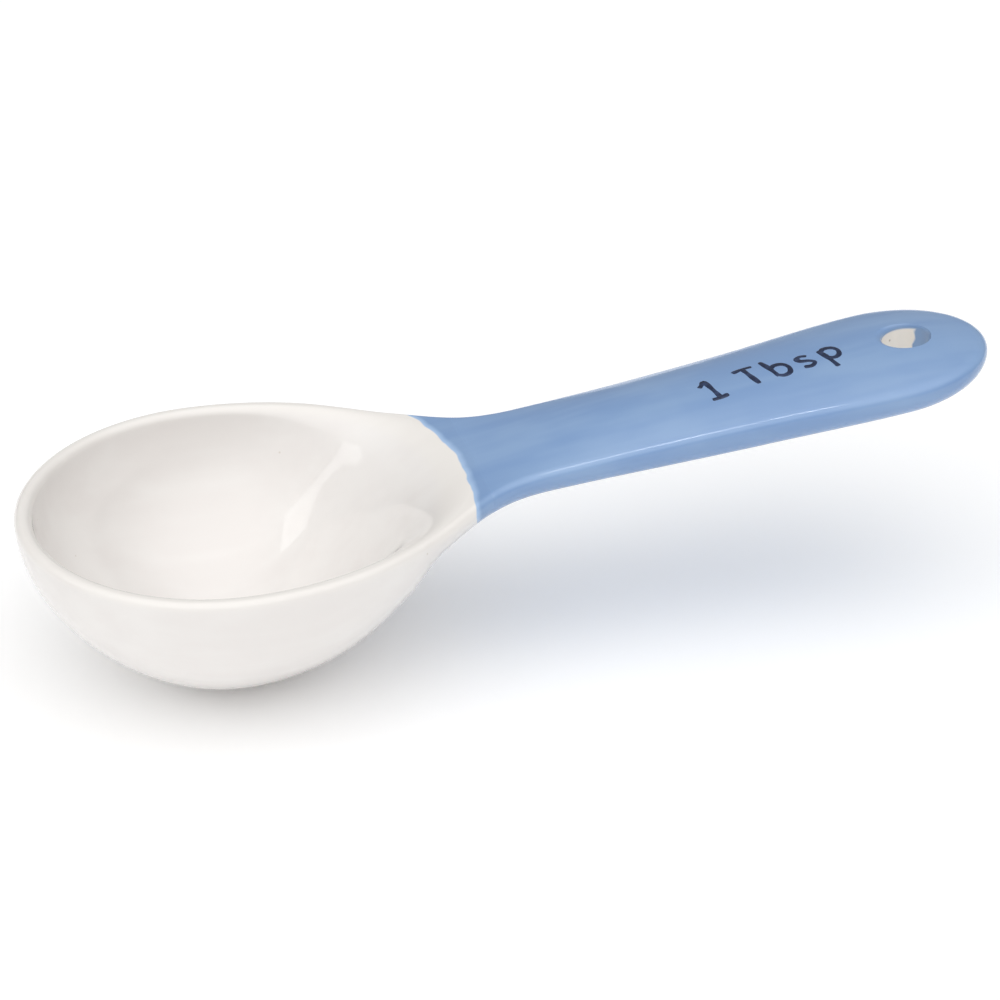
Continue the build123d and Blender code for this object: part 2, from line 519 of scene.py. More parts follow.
    def bowl_grids(self, inset: float) -> list[np.ndarray]:
        """Grids of the right half of the bowl.

        Args:
            inset: How far the surface is drawn in.

        Returns:
            Points of its inside, and of its rim and outside.
        """
        turns = np.concatenate([
            np.linspace(math.pi, math.pi / 2, self.back_count, endpoint=False),
            np.linspace(math.pi / 2, 0, self.front_count),
        ])
        inside, outside = [], []
        for turn in turns:
            line = self.profile(turn, inset)
            reach, across = line[:, 0] * math.cos(turn), line[:, 0] * math.sin(turn)
            inside.append(self.placed(reach, across, line[:, 1]))
            if turn > math.pi / 2:
                rib = self.rib(0.0, inset, line[-1, 0])
                outside.append(self.placed(rib[:, 0] * math.cos(turn), rib[:, 0] * math.sin(turn), rib[:, 1]))
            else:
                rib = self.rib(reach[-1], inset, across[-1])
                outside.append(self.placed(np.full(len(rib), reach[-1]), rib[:, 0], rib[:, 1]))
        outside = np.array(outside)
        outside[..., 2] = np.maximum(outside[..., 2], self.foot_stand + inset)
        return [np.array(inside), outside]

    def handle_grids(self, inset: float) -> list[np.ndarray]:
        """Grids of the right half of the handle.

        Args:
            inset: How far the surface is drawn in.

        Returns:
            Points of its length and of its round end.
        """
        start = self.profile(0.0, inset)[-1, 0]
        length = []
        for reach in np.linspace(start, self.handle_reach, self.handle_count):
            rib = self.rib(reach, inset, 0.0)
            length.append(self.placed(np.full(len(rib), reach), rib[:, 0], rib[:, 1]))
        rib = self.rib(self.handle_reach, inset, 0.0)
        stretch = (self.end_length - inset) / (self.sizes_at(self.handle_reach)[0] - inset)
        end = [
            self.end_placed(rib[:, 0] * math.cos(turn) * stretch, rib[:, 0] * math.sin(turn), rib[:, 1])
            for turn in np.linspace(math.pi / 2, 0, self.end_count)
        ]
        return [np.array(length), np.array(end)]

    def hole_axis(self) -> tuple[Vector, Vector]:
        """Place of the hanging hole.

        Returns:
            Its middle on the edge line, in metres, and the way up along it.
        """
        middle = self.end_placed(np.array(self.hole_offset), np.array(0.0), np.array(0.0)) * MM
        above = self.end_placed(np.array(self.hole_offset), np.array(0.0), np.array(1.0)) * MM
        return Vector(middle), (Vector(above) - Vector(middle)).normalized()

    def hole_tool(self) -> bpy.types.Object:
        """Turned shape of the hanging hole, with a soft lip at each end.

        Returns:
            The tool that cuts the hole.
        """
        depth = self.sizes_at(self.handle_reach)[1]
        slope = math.radians(self.hole_lip_slope)
        swing = np.radians(np.linspace(0, 90 - self.hole_lip_slope, self.hole_lip_count))
        out = self.hole_radius + self.hole_lip * (1 - np.cos(swing))
        rise = self.hole_lip * np.sin(swing)
        away = self.hole_overrun * np.array([math.cos(slope), math.sin(slope)])
        top = np.column_stack([out, self.crown - self.hole_lip + rise])
        bottom = np.column_stack([out, self.hole_lip - depth - rise])
        high, low = top[-1] + away, bottom[-1] + away * (1, -1)
        line = np.vstack([[0, high[1]], high, top[::-1], bottom, low, [0, low[1]]])
        out, up = line[:, 0], line[:, 1]
        grid = [
            self.end_placed(self.hole_offset + out * math.cos(turn), out * math.sin(turn), up)
            for turn in np.linspace(0, 2 * math.pi, self.hole_turn_count)
        ]
        return mesh_piece("hole_tool", [np.array(grid)], mirrored=False)

    def disc(self, name: str, bottom: float, top: float, chamfer: float) -> bpy.types.Object:
        """Upright disc about the foot's middle, as wide as the foot.

        Args:
            name: The disc's name.
            bottom: Height of its lower face.
            top: Height of its upper face.
            chamfer: How much of its lower edge is taken off.

        Returns:
            The disc.
        """
        radius = self.foot_radius
        line = np.array([
            [0, bottom], [radius - chamfer, bottom], [radius, bottom + chamfer], [radius, top], [0, top]
        ])
        grid = [
            np.column_stack([line[:, 0] * math.cos(turn), line[:, 0] * math.sin(turn), line[:, 1]])
            for turn in np.linspace(0, 2 * math.pi, self.foot_turn_count)
        ]
        return mesh_piece(name, [np.array(grid)], mirrored=False)

    def build(self) -> dict[str, bpy.types.Object]:
        """Mesh the two coats, the clay under them and the bare foot.

        Returns:
            The pieces by name.
        """
        outer_bowl, inner_bowl = self.bowl_grids(0.0), self.bowl_grids(self.coat)
        outer_handle, inner_handle = self.handle_grids(0.0), self.handle_grids(self.coat)
        bowl_edge = np.array([outer_bowl[1][-1], inner_bowl[1][-1]])
        handle_edge = np.array([outer_handle[0][0], inner_handle[0][0]])
        pieces = {
            "bowl_coat": mesh_piece("bowl_coat", [*outer_bowl, *inner_bowl, bowl_edge]),
            "handle_coat": mesh_piece("handle_coat", [*outer_handle, *inner_handle, handle_edge]),
            "cast_clay": mesh_piece("cast_clay", [*inner_bowl, *inner_handle]),
        }
        hole = self.hole_tool()
        foot = self.disc("foot_tool", -self.foot_overrun, self.foot_overrun, 0.0)
        cut(pieces["handle_coat"], hole)
        cut(pieces["cast_clay"], hole)
        cut(pieces["bowl_coat"], foot)
        for tool in (hole, foot):
            bpy.data.objects.remove(tool)
        foot_top = self.foot_stand + 2 * self.coat
        pieces["bare_foot"] = self.disc("bare_foot", 0.0, foot_top, self.foot_chamfer)
        for piece in pieces.values():
            smooth_by_angle(piece)
        return pieces


@dataclass(frozen=True)
class GlazeLine:
    """Wavy line where the handle's blue coat laps over the bowl's white one.

    The handle was dipped at a slight tilt, so the line bulges to the bowl off the middle, and it wanders a
    little. The blue coat is thin and pale along its edge.
    """

    reach_mm: float = 26.2
    middle_mm: float = -2.6
    bulge_radius_mm: float = 37.4
    wander_mm: float = 0.55
    wander_wave_mm: float = 3.4
    wander_detail: float = 1.5
    feather_mm: float = 0.16
    thin_edge_mm: float = 0.8

    def distance(self, tree: bpy.types.NodeTree, place: bpy.types.NodeSocket) -> bpy.types.NodeSocket:
        """Signed distance past the line towards the handle, in metres.

        Args:
            tree: Node tree that takes the nodes.
            place: Place on the spoon, in metres.

        Returns:
            The distance's socket.
        """
        parts = add_node(tree, "ShaderNodeSeparateXYZ", links={0: place}).outputs
        across = add_node(
            tree, "ShaderNodeMath", {"operation": "SUBTRACT"}, {1: self.middle_mm * MM}, {0: parts["Y"]}
        ).outputs[0]
        square = add_node(
            tree, "ShaderNodeMath", {"operation": "MULTIPLY"}, links={0: across, 1: across}
        ).outputs[0]
        bulged = add_node(
            tree, "ShaderNodeMath", {"operation": "MULTIPLY_ADD"},
            {1: 1.0 / (2 * self.bulge_radius_mm * MM)}, {0: square, 2: parts["X"]},
        ).outputs[0]
        wander = add_node(
            tree, "ShaderNodeTexNoise",
            values={"Scale": per_metre(self.wander_wave_mm), "Detail": self.wander_detail},
            links={"Vector": place},
        ).outputs["Fac"]
        wandering = add_node(
            tree, "ShaderNodeMath", {"operation": "MULTIPLY_ADD"}, {1: 2 * self.wander_mm * MM},
            {0: wander, 2: bulged},
        ).outputs[0]
        return add_node(
            tree, "ShaderNodeMath", {"operation": "SUBTRACT"}, {1: (self.reach_mm + self.wander_mm) * MM},
            {0: wandering},
        ).outputs[0]

    def past(self, tree: bpy.types.NodeTree, distance: bpy.types.NodeSocket) -> bpy.types.NodeSocket:
        """Mask that is nought on the bowl's side and one on the handle's.

        Args:
            tree: Node tree that takes the node.
            distance: Distance past the line.

        Returns:
            The mask's socket.
        """
        half = self.feather_mm * MM / 2
        return add_node(
            tree, "ShaderNodeMapRange", SOFT_STEP, {"From Min": -half, "From Max": half}, {"Value": distance}
        ).outputs["Result"]

    def thin(self, tree: bpy.types.NodeTree, distance: bpy.types.NodeSocket) -> bpy.types.NodeSocket:
        """Mask that is one at the blue coat's edge and fades out over its thin stretch.

        Args:
            tree: Node tree that takes the node.
            distance: Distance past the line.

        Returns:
            The mask's socket.
        """
        return add_node(
            tree, "ShaderNodeMapRange", SOFT_STEP,
            {"From Min": 0.0, "From Max": self.thin_edge_mm * MM, "To Min": 1.0, "To Max": 0.0},
            {"Value": distance},
        ).outputs["Result"]


@dataclass(frozen=True)
class Glaze:
    """A gloss glaze that melted to glass and flowed a little before it set.

    That gives the eye clear reflections with slow ripples, a colour that is paler where the coat ran thin
    over an edge and deeper where it gathered, and a few pinholes and specks.
    """

    colour: str
    gathered: str
    thin: str
    speck: str
    drift_mm: float = 13.0
    drift_detail: float = 3.0
    flow_mm: tuple[float, float, float] = (26.0, 3.2, 3.2)
    flow_detail: float = 2.0
    gather_range: tuple[float, float] = (0.72, 1.28)
    speck_spacing_mm: float = 5.5
    speck_radius_mm: float = 0.17
    speck_core_share: float = 0.4
    speck_strength: float = 0.55

    def shade(
        self, tree: bpy.types.NodeTree, place: bpy.types.NodeSocket, thin: bpy.types.NodeSocket
    ) -> bpy.types.NodeSocket:
        """Colour of this glaze over the whole spoon.

        Args:
            tree: Node tree that takes the nodes.
            place: Place on the spoon, in metres.
            thin: Mask that is one where the coat is at its thinnest.

        Returns:
            The colour's socket.
        """
        drift = add_node(
            tree, "ShaderNodeTexNoise",
            values={"Scale": per_metre(self.drift_mm), "Detail": self.drift_detail},
            links={"Vector": place},
        ).outputs["Fac"]
        flow_scale = add_node(
            tree, "ShaderNodeMapping", {"vector_type": "TEXTURE"},
            {"Scale": tuple(size * MM for size in self.flow_mm)}, {"Vector": place},
        ).outputs["Vector"]
        flow = add_node(
            tree, "ShaderNodeTexNoise", values={"Scale": 1.0, "Detail": self.flow_detail},
            links={"Vector": flow_scale},
        ).outputs["Fac"]
        both = add_node(tree, "ShaderNodeMath", {"operation": "ADD"}, links={0: drift, 1: flow}).outputs[0]
        depth = add_node(
            tree, "ShaderNodeMapRange", SOFT_STEP,
            {"From Min": self.gather_range[0], "From Max": self.gather_range[1]}, {"Value": both},
        ).outputs["Result"]
        body = add_node(
            tree, "ShaderNodeMix", COLOUR_MIX, {6: linear(self.colour), 7: linear(self.gathered)}, {0: depth}
        ).outputs[2]
        thinned = add_node(
            tree, "ShaderNodeMix", COLOUR_MIX, {7: linear(self.thin)}, {0: thin, 6: body}
        ).outputs[2]
        cells = add_node(
            tree, "ShaderNodeTexVoronoi", values={"Scale": per_metre(self.speck_spacing_mm)},
            links={"Vector": place},
        )
        size = self.speck_radius_mm / self.speck_spacing_mm
        spot = add_node(
            tree, "ShaderNodeMapRange", SOFT_STEP,
            {"From Min": self.speck_core_share * size, "From Max": size, "To Min": self.speck_strength,
             "To Max": 0.0},
            {"Value": cells.outputs["Distance"]},
        ).outputs["Result"]
        return add_node(
            tree, "ShaderNodeMix", COLOUR_MIX, {7: linear(self.speck)}, {0: spot, 6: thinned}
        ).outputs[2]


@dataclass(frozen=True)
class GlazedCoat:
    """Finish of one glazed piece: both glazes, the line between them, thin edges, ripples and pinholes."""

    name: str
    white: Glaze
    blue: Glaze
    line: GlazeLine
    surface: Surface
    rim_height_mm: float
    ior: float = 1.52
    rim_run_mm: float = 1.1
    rim_thinning: float = 0.5
    crease_tilt: float = 0.72
    crease_spread: float = 0.34
    crease_thinning: float = 0.12
    ripple_wave_mm: float = 8.0
    ripple_rise_mm: float = 0.05
    peel_wave_mm: float = 1.3
    peel_rise_mm: float = 0.004
    wave_detail: float = 1.0
    pinhole_spacing_mm: float = 7.0
    pinhole_radius_mm: float = 0.14
    pinhole_depth_mm: float = 0.015
    haze_mm: float = 5.0
    haze_detail: float = 4.0
    haze_range: tuple[float, float] = (0.3, 0.7)
    haze_shares: tuple[float, float] = (0.6, 1.5)

    def rim_mask(self, tree: bpy.types.NodeTree, place: bpy.types.NodeSocket) -> bpy.types.NodeSocket:
        """Mask that is highest on the top of the bowl's rim, where the white coat drew thin.

        Args:
            tree: Node tree that takes the nodes.
            place: Place on the spoon, in metres.

        Returns:
            The mask's socket.
        """
        height = add_node(tree, "ShaderNodeSeparateXYZ", links={0: place}).outputs["Z"]
        top = self.rim_height_mm * MM
        return add_node(
            tree, "ShaderNodeMapRange", SOFT_STEP,
            {"From Min": top - self.rim_run_mm * MM, "From Max": top, "To Max": self.rim_thinning},
            {"Value": height},
        ).outputs["Result"]

    def crease_mask(self, tree: bpy.types.NodeTree) -> bpy.types.NodeSocket:
        """Mask that is highest round the handle's upper edges, where the blue coat drew thin.

        Args:
            tree: Node tree that takes the nodes.

        Returns:
            The mask's socket.
        """
        normal = add_node(tree, "ShaderNodeNewGeometry").outputs["Normal"]
        tilt = add_node(tree, "ShaderNodeSeparateXYZ", links={0: normal}).outputs["Z"]
        off = add_node(
            tree, "ShaderNodeMath", {"operation": "SUBTRACT"}, {1: self.crease_tilt}, {0: tilt}
        ).outputs[0]
        away = add_node(tree, "ShaderNodeMath", {"operation": "ABSOLUTE"}, links={0: off}).outputs[0]
        return add_node(
            tree, "ShaderNodeMapRange", SOFT_STEP,
            {"From Min": 0.0, "From Max": self.crease_spread, "To Min": self.crease_thinning, "To Max": 0.0},
            {"Value": away},
        ).outputs["Result"]

    def relief(self, tree: bpy.types.NodeTree, place: bpy.types.NodeSocket) -> bpy.types.NodeSocket:
        """Slow ripples, orange peel and pinholes of the set glass.

        Args:
            tree: Node tree that takes the nodes.
            place: Place on the spoon, in metres.

        Returns:
            The normal's socket.
        """
        normal = None
        ripple, peel = (self.ripple_wave_mm, self.ripple_rise_mm), (self.peel_wave_mm, self.peel_rise_mm)
        for wave, rise in (ripple, peel):
            waves = add_node(
                tree, "ShaderNodeTexNoise", values={"Scale": per_metre(wave), "Detail": self.wave_detail},
                links={"Vector": place},
            ).outputs["Fac"]
            links = {"Height": waves} if normal is None else {"Height": waves, "Normal": normal}
            bump = add_node(tree, "ShaderNodeBump", values={"Distance": rise * MM}, links=links)
            normal = bump.outputs["Normal"]
        holes = add_node(
            tree, "ShaderNodeTexVoronoi", values={"Scale": per_metre(self.pinhole_spacing_mm)},
            links={"Vector": place},
        ).outputs["Distance"]
        hole = add_node(
            tree, "ShaderNodeMapRange", SOFT_STEP,
            {"From Min": 0.0, "From Max": self.pinhole_radius_mm / self.pinhole_spacing_mm}, {"Value": holes},
        ).outputs["Result"]
        return add_node(
            tree, "ShaderNodeBump", values={"Distance": self.pinhole_depth_mm * MM},
            links={"Height": hole, "Normal": normal},
        ).outputs["Normal"]

    def material(self) -> bpy.types.Material:
        """Build the node material of this coat.

        Returns:
            The new material.
        """
        made, tree, shader = new_material(self.name)
        place = add_node(tree, "ShaderNodeTexCoord").outputs["Object"]
        distance = self.line.distance(tree, place)
        white = self.white.shade(tree, place, self.rim_mask(tree, place))
        thin = add_node(
            tree, "ShaderNodeMath", {"operation": "MAXIMUM"},
            links={0: self.line.thin(tree, distance), 1: self.crease_mask(tree)},
        ).outputs[0]
        blue = self.blue.shade(tree, place, thin)
        colour = add_node(
            tree, "ShaderNodeMix", COLOUR_MIX, links={0: self.line.past(tree, distance), 6: white, 7: blue}
        ).outputs[2]
        tree.links.new(colour, shader.inputs["Base Color"])
        tree.links.new(self.relief(tree, place), shader.inputs["Normal"])
        haze = add_node(
            tree, "ShaderNodeTexNoise", values={"Scale": per_metre(self.haze_mm), "Detail": self.haze_detail},
            links={"Vector": place},
        ).outputs["Fac"]
        clearest, dullest = (share * self.surface.value for share in self.haze_shares)
        rough = add_node(
            tree, "ShaderNodeMapRange",
            values={"From Min": self.haze_range[0], "From Max": self.haze_range[1], "To Min": clearest,
                    "To Max": dullest},
            links={"Value": haze},
        ).outputs["Result"]
        tree.links.new(rough, shader.inputs["Roughness"])
        shader.inputs["IOR"].default_value = self.ior
        return made


@dataclass(frozen=True)
class Throat:
    """Stretch of the hanging hole's wall that the glaze left bare.

    It lies between the two glazed lips, and a run of glaze covers it on the side of the handle's tip.
    """

    middle: Vector
    upward: Vector
    bottom_mm: float
    top_mm: float
    run_mm: float = 2.0
    wander_mm: float = 0.7
    wander_wave_mm: float = 1.6
    wander_detail: float = 1.0
    feather_mm: float = 0.12

    def glazed(self, tree: bpy.types.NodeTree, place: bpy.types.NodeSocket) -> bpy.types.NodeSocket:
        """Mask that is one on the lips and on the run of glaze, and nought in the bare throat.

        Args:
            tree: Node tree that takes the nodes.
            place: Place on the spoon, in metres.

        Returns:
            The mask's socket.
        """
        along = add_node(
            tree, "ShaderNodeVectorMath", {"operation": "DOT_PRODUCT"}, {1: tuple(self.upward)}, {0: place}
        ).outputs["Value"]
        centre = self.middle.dot(self.upward) + (self.top_mm + self.bottom_mm) / 2 * MM
        off = add_node(tree, "ShaderNodeMath", {"operation": "SUBTRACT"}, {1: centre}, {0: along}).outputs[0]
        away = add_node(tree, "ShaderNodeMath", {"operation": "ABSOLUTE"}, links={0: off}).outputs[0]
        half = (self.top_mm - self.bottom_mm) / 2 * MM
        feather = self.feather_mm * MM
        lips = add_node(
            tree, "ShaderNodeMapRange", SOFT_STEP, {"From Min": half - feather, "From Max": half + feather},
            {"Value": away},
        ).outputs["Result"]
        wave = add_node(
            tree, "ShaderNodeTexNoise",
            values={"Scale": per_metre(self.wander_wave_mm), "Detail": self.wander_detail},
            links={"Vector": place},
        ).outputs["Fac"]
        reach = add_node(tree, "ShaderNodeSeparateXYZ", links={0: place}).outputs["X"]
        wandering = add_node(
            tree, "ShaderNodeMath", {"operation": "MULTIPLY_ADD"}, {1: 2 * self.wander_mm * MM},
            {0: wave, 2: reach},
        ).outputs[0]
        start = self.middle.x + (self.run_mm + self.wander_mm) * MM
        run = add_node(
            tree, "ShaderNodeMapRange", SOFT_STEP, {"From Min": start - feather, "From Max": start + feather},
            {"Value": wandering},
        ).outputs["Result"]
        return add_node(tree, "ShaderNodeMath", {"operation": "MAXIMUM"}, links={0: lips, 1: run}).outputs[0]


@dataclass(frozen=True)
class BareClay:
    """Stoneware fired with no glaze: dry, matt, a little sandy and speckled with iron."""

    name: str = "bare_stoneware"
    colour: str = "ded8cb"
    dark: str = "c4b8a2"
    speck: str = "8b7355"
    cloud_mm: float = 6.0
    cloud_detail: float = 4.0
    speck_spacing_mm: float = 1.6
    speck_shares: tuple[float, float] = (0.05, 0.12)
    speck_strength: float = 0.6
    grit_mm: float = 0.45
    grit_detail: float = 3.0
    grit_rise_mm: float = 0.03
    rough_swing: float = 0.12

    def material(self, throat: Throat | None = None, glaze: Glaze | None = None) -> bpy.types.Material:
        """Build the node material of the bare clay.

        Args:
            throat: Bare stretch of the hole, where glaze runs on to the clay past both its ends.
            glaze: The glaze that runs there.

        Returns:
            The new material.
        """
        made, tree, shader = new_material(self.name)
        place = add_node(tree, "ShaderNodeTexCoord").outputs["Object"]
        cloud = add_node(
            tree, "ShaderNodeTexNoise",
            values={"Scale": per_metre(self.cloud_mm), "Detail": self.cloud_detail},
            links={"Vector": place},
        ).outputs["Fac"]
        body = add_node(
            tree, "ShaderNodeMix", COLOUR_MIX, {6: linear(self.colour), 7: linear(self.dark)}, {0: cloud}
        ).outputs[2]
        cells = add_node(
            tree, "ShaderNodeTexVoronoi", values={"Scale": per_metre(self.speck_spacing_mm)},
            links={"Vector": place},
        ).outputs["Distance"]
        spot = add_node(
            tree, "ShaderNodeMapRange",
            values={"From Min": self.speck_shares[0], "From Max": self.speck_shares[1],
                    "To Min": self.speck_strength, "To Max": 0.0},
            links={"Value": cells},
        ).outputs["Result"]
        colour = add_node(
            tree, "ShaderNodeMix", COLOUR_MIX, {7: linear(self.speck)}, {0: spot, 6: body}
        ).outputs[2]
        grit = add_node(
            tree, "ShaderNodeTexNoise", values={"Scale": per_metre(self.grit_mm), "Detail": self.grit_detail},
            links={"Vector": place},
        ).outputs["Fac"]
        rise = add_node(
            tree, "ShaderNodeBump", values={"Distance": self.grit_rise_mm * MM}, links={"Height": grit}
        ).outputs["Normal"]
        middle, swing = Surface.BARE.value, self.rough_swing
        rough = add_node(
            tree, "ShaderNodeMapRange", values={"To Min": middle - swing, "To Max": middle + swing},
            links={"Value": grit},
        ).outputs["Result"]
        if throat:
            glazed = throat.glazed(tree, place)
            colour = add_node(
                tree, "ShaderNodeMix", COLOUR_MIX, {7: linear(glaze.colour)}, {0: glazed, 6: colour}
            ).outputs[2]
            rough = add_node(
                tree, "ShaderNodeMix", {"data_type": "FLOAT"}, {3: Surface.SETTLED.value},
                {0: glazed, 2: rough},
            ).outputs[0]
        tree.links.new(colour, shader.inputs["Base Color"])
        tree.links.new(rise, shader.inputs["Normal"])
        tree.links.new(rough, shader.inputs["Roughness"])
        return made


@dataclass(frozen=True)
class CeramicInk:
    """Dark cobalt colour put on with a pen and fired under the last film of glaze.

    That gives the eye a near-black blue that is a little lighter where the pen ran dry, under the same gloss.
    """

    name: str = "fired_cobalt_ink"
    colour: str = "1a2744"
    dry: str = "344569"
    ior: float = 1.5
    wave_mm: float = 0.9
    wave_detail: float = 3.0
    dry_range: tuple[float, float] = (0.45, 0.75)
    rough_range: tuple[float, float] = (0.12, 0.3)

    def material(self) -> bpy.types.Material:
        """Build the node material of the ink.

        Returns:
            The new material.
        """
        made, tree, shader = new_material(self.name)
        place = add_node(tree, "ShaderNodeTexCoord").outputs["Object"]
        wave = add_node(
            tree, "ShaderNodeTexNoise", values={"Scale": per_metre(self.wave_mm), "Detail": self.wave_detail},
            links={"Vector": place},
        ).outputs["Fac"]
        run = add_node(
            tree, "ShaderNodeMapRange", values={"From Min": self.dry_range[0], "From Max": self.dry_range[1]},
            links={"Value": wave},
        ).outputs["Result"]
        colour = add_node(
            tree, "ShaderNodeMix", COLOUR_MIX, {6: linear(self.colour), 7: linear(self.dry)}, {0: run}
        ).outputs[2]
        tree.links.new(colour, shader.inputs["Base Color"])
        rough = add_node(
            tree, "ShaderNodeMapRange", values={"To Min": self.rough_range[0], "To Max": self.rough_range[1]},
            links={"Value": wave},
        ).outputs["Result"]
        tree.links.new(rough, shader.inputs["Roughness"])
        shader.inputs["IOR"].default_value = self.ior
        return made


@dataclass
class Letter:
    """One plain letter of the capacity mark: pen strokes, in shares of the capital's height."""

    name: str
    stroke_shares: list[list[tuple[float, float]]]
    start_mm: float


@dataclass
class CapacityMark:
    """Hand-lettered measure on the handle's top, so thin that it only just stands on the glaze."""

    ink: CeramicInk
    start_mm: tuple[float, float] = (54.2, -3.3)
    turn_degrees: float = 7.5
    lean_degrees: float = -4.0
    capital_mm: float = 3.9
    pen_half_width_mm: float = 0.31
    rise_mm: float = 0.05
    sink_mm: float = 0.04
    step_mm: float = 0.12
    look_down_mm: float = 60.0
    # Round ends and uneven pressure of the pen.
    end_share: float = 0.25
    press_swing: float = 0.16
    press_per_mm: float = 2.1
    press_fall: float = 0.12
    ring_count: int = 12
    knot_steps: int = 24
    least_points: int = 4
    letters: list[Letter] = field(default_factory=list)

    def __post_init__(self) -> None:
        """Lay out the letters along the handle."""
        self.letters = self.letters or [
            Letter("mark_1", [[(0.0, 0.72), (0.13, 0.83), (0.27, 0.97), (0.27, 0.5), (0.27, 0.03)],
                              [(0.02, 0.02), (0.27, 0.0), (0.52, 0.03)]], 0.0),
            Letter("mark_t", [[(0.0, 0.93), (0.3, 0.98), (0.62, 0.96)],
                              [(0.33, 0.95), (0.32, 0.5), (0.34, 0.02)]], 4.55),
            Letter("mark_b", [[(0.0, 1.05), (0.02, 0.55), (0.03, 0.04)],
                              [(0.03, 0.5), (0.2, 0.62), (0.42, 0.56), (0.5, 0.32), (0.4, 0.07), (0.2, 0.0),
                               (0.03, 0.1)]], 8.2),
            Letter("mark_s", [[(0.37, 0.56), (0.2, 0.64), (0.04, 0.55), (0.08, 0.39), (0.28, 0.29),
                               (0.38, 0.14), (0.22, 0.01), (0.0, 0.06)]], 11.5),
            Letter("mark_p", [[(0.0, 0.62), (0.03, 0.2), (0.04, -0.42)],
                              [(0.02, 0.5), (0.18, 0.64), (0.4, 0.58), (0.48, 0.36), (0.38, 0.12),
                               (0.2, 0.04), (0.04, 0.14)]], 14.5),
        ]

    def smooth(self, points: list[tuple[float, float]]) -> np.ndarray:
        """Evenly stepped points on the smooth line through a stroke's points.

        Args:
            points: The stroke's points, in shares of the capital's height.

        Returns:
            Points in millimetres on the letter's own grid, one row each.
        """
        knots = np.array(points) * self.capital_mm
        padded = np.vstack([2 * knots[0] - knots[1], knots, 2 * knots[-1] - knots[-2]])
        line = []
        for before, start, stop, after in zip(padded, padded[1:], padded[2:], padded[3:]):
            for way in np.linspace(0, 1, self.knot_steps, endpoint=False):
                line.append(
                    0.5 * (2 * start + (stop - before) * way
                           + (2 * before - 5 * start + 4 * stop - after) * way**2
                           + (3 * start - before - 3 * stop + after) * way**3)
                )
        line = np.vstack([line, knots[-1]])
        run = np.concatenate([[0], np.cumsum(np.linalg.norm(np.diff(line, axis=0), axis=1))])
        steps = np.linspace(0, run[-1], max(int(run[-1] / self.step_mm), self.least_points))
        return np.column_stack([np.interp(steps, run, line[:, axis]) for axis in (0, 1)])

    def placed(self, points: np.ndarray, start_mm: float) -> np.ndarray:
        """Move a letter's points to the handle.

        Args:
            points: Points on the letter's own grid, in millimetres.
            start_mm: The letter's start along the mark.

        Returns:
            The points seen from above, in millimetres.
        """
        lean = math.tan(math.radians(self.lean_degrees))
        turn = math.radians(self.turn_degrees)
        along = points[:, 0] + start_mm + lean * points[:, 1]
        across = points[:, 1]
        return np.column_stack([
            self.start_mm[0] + along * math.cos(turn) - across * math.sin(turn),
            self.start_mm[1] + along * math.sin(turn) + across * math.cos(turn),
        ])

    def stroke(self, line: np.ndarray, ground: BVHTree) -> tuple[list, list]:
        """Closed bead along a pen line, lying on the handle.

        Args:
            line: The pen's line seen from above, in millimetres.
            ground: The handle's surface.

        Returns:
            The bead's vertices and faces.
        """
        ahead = np.gradient(line, axis=0)
        ahead /= np.linalg.norm(ahead, axis=1)[:, None]
        side = np.column_stack([-ahead[:, 1], ahead[:, 0]])
        run = np.arange(len(line)) * self.step_mm
        to_end = np.minimum(run, run[-1] - run) + self.end_share * self.pen_half_width_mm
        rounded = np.sqrt(np.clip(1 - (1 - to_end / self.pen_half_width_mm).clip(0) ** 2, 0, 1))
        swing = self.press_swing * np.sin(self.press_per_mm * run + line[0, 0])
        press = 1 + swing + self.press_fall * (run[-1] / 2 - run) / max(run[-1], self.step_mm)
        half = self.pen_half_width_mm * rounded * press
        turns = np.linspace(0, 2 * math.pi, self.ring_count, endpoint=False)
        ring = [(math.cos(turn), math.sin(turn)) for turn in turns]
        vertices, faces = [], []
        for middle, out, reach in zip(line, side, half):
            for across, up in ring:
                spot = middle + out * reach * across
                start = Vector((spot[0] * MM, spot[1] * MM, self.look_down_mm * MM))
                found, normal, _, _ = ground.ray_cast(start, Vector((0, 0, -1)))
                height = self.rise_mm * up if up > 0 else self.sink_mm * up
                vertices.append(found + normal * height * MM)
        count = len(ring)
        for row in range(len(line) - 1):
            for place in range(count):
                beside = (place + 1) % count
                low, high = row * count, (row + 1) * count
                faces.append((low + place, low + beside, high + beside, high + place))
        faces.append(tuple(reversed(range(count))))
        faces.append(tuple(range((len(line) - 1) * count, len(line) * count)))
        return vertices, faces

    def build(self, carrier: bpy.types.Object) -> list[bpy.types.Object]:
        """Write the mark on the piece that carries it.

        Args:
            carrier: The blue coat of the handle.

        Returns:
            The letters' objects.
        """
        mesh = carrier.data
        ground = BVHTree.FromPolygons(
            [vertex.co.copy() for vertex in mesh.vertices], [tuple(face.vertices) for face in mesh.polygons]
        )
        material = self.ink.material()
        made = []
        for letter in self.letters:
            vertices, faces = [], []
            for points in letter.stroke_shares:
                line = self.placed(self.smooth(points), letter.start_mm)
                new_vertices, new_faces = self.stroke(line, ground)
                faces += [tuple(index + len(vertices) for index in face) for face in new_faces]
                vertices += new_vertices
            shape = bpy.data.meshes.new(letter.name)
            shape.from_pydata([tuple(vertex) for vertex in vertices], [], faces)
            shape.polygons.foreach_set("use_smooth", [True] * len(shape.polygons))
            shape.materials.append(material)
            piece = new_object(letter.name, shape)
            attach(piece, BODY)
            made.append(piece)
        return made


